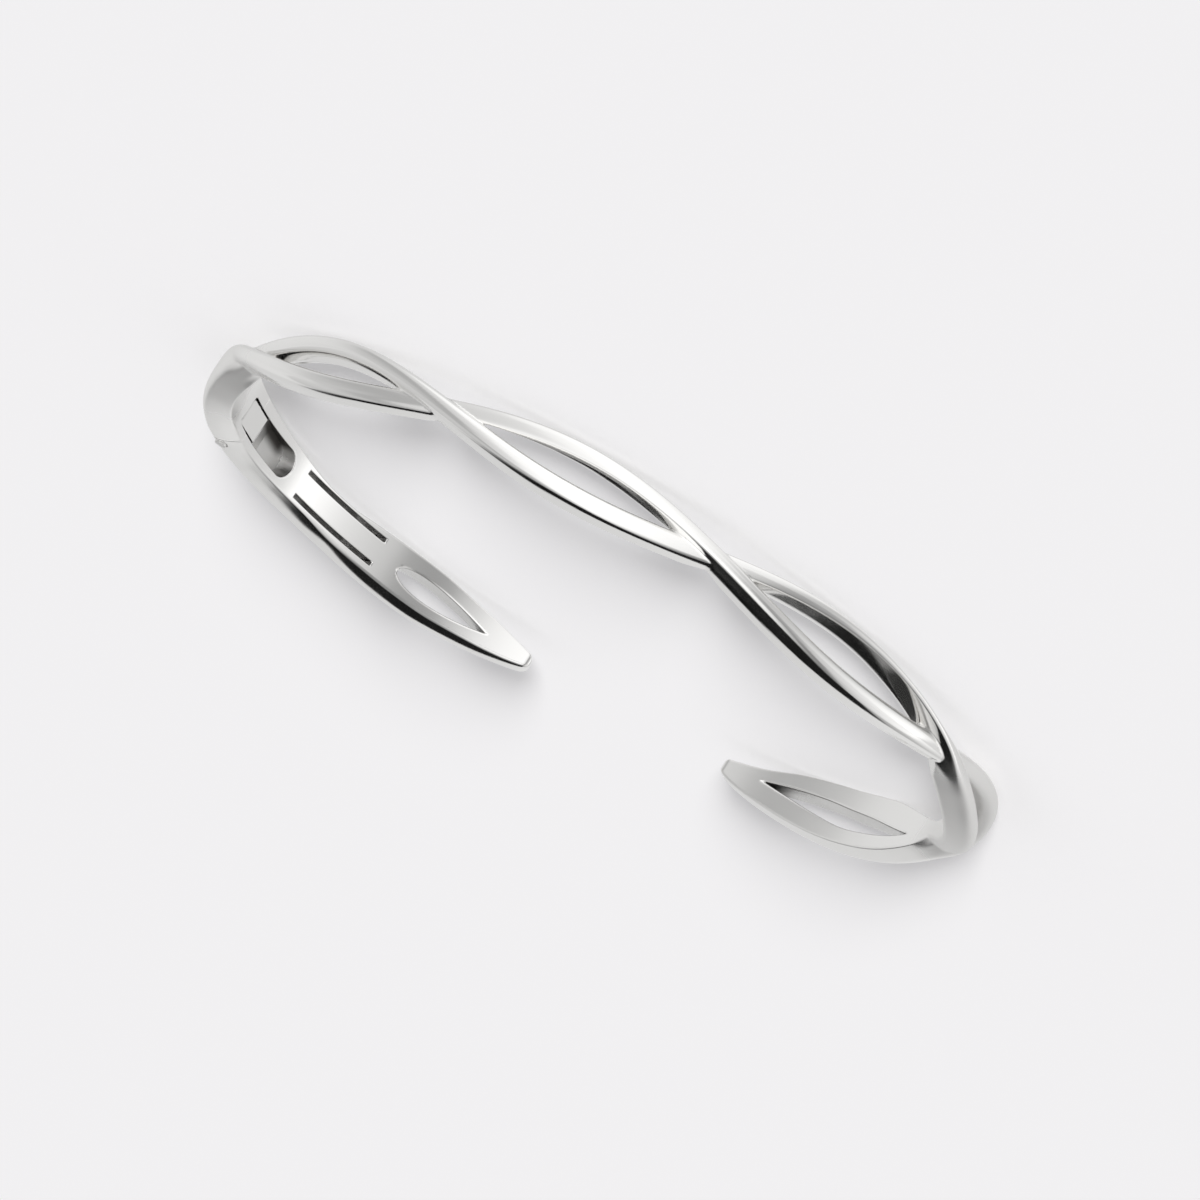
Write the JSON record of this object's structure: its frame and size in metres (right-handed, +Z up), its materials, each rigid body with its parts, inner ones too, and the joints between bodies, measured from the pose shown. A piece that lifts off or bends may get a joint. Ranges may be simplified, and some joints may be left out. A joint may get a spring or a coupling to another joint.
{
  "type": "hinged bangle",
  "caption": "Open oval bangle of two twisted flat-faced silver strands, with a solid hinge block, a pinned hinged arm and pierced leaf-shaped ends.",
  "frame": {"origin": "middle of the bangle's footprint, on the surface that it lies on", "axes": "+X from the hinge end to the plain end, +Y to the closed back, +Z up along the width of the band"},
  "size_m": [0.063, 0.0512, 0.0046],
  "materials": {
    "silver": "polished"
  },
  "bodies": {
    "band": {"band": "silver", "hinge_pin": "silver"},
    "arm": {"arm": "silver"}
  },
  "joints": [
    {"name": "arm_hinge", "type": "hinge", "parent": "band", "child": "arm", "pos_m": [-0.03028, -0.00469, 0.00233], "axis": [0, 0, -1], "range_deg": [0, 40]}
  ]
}
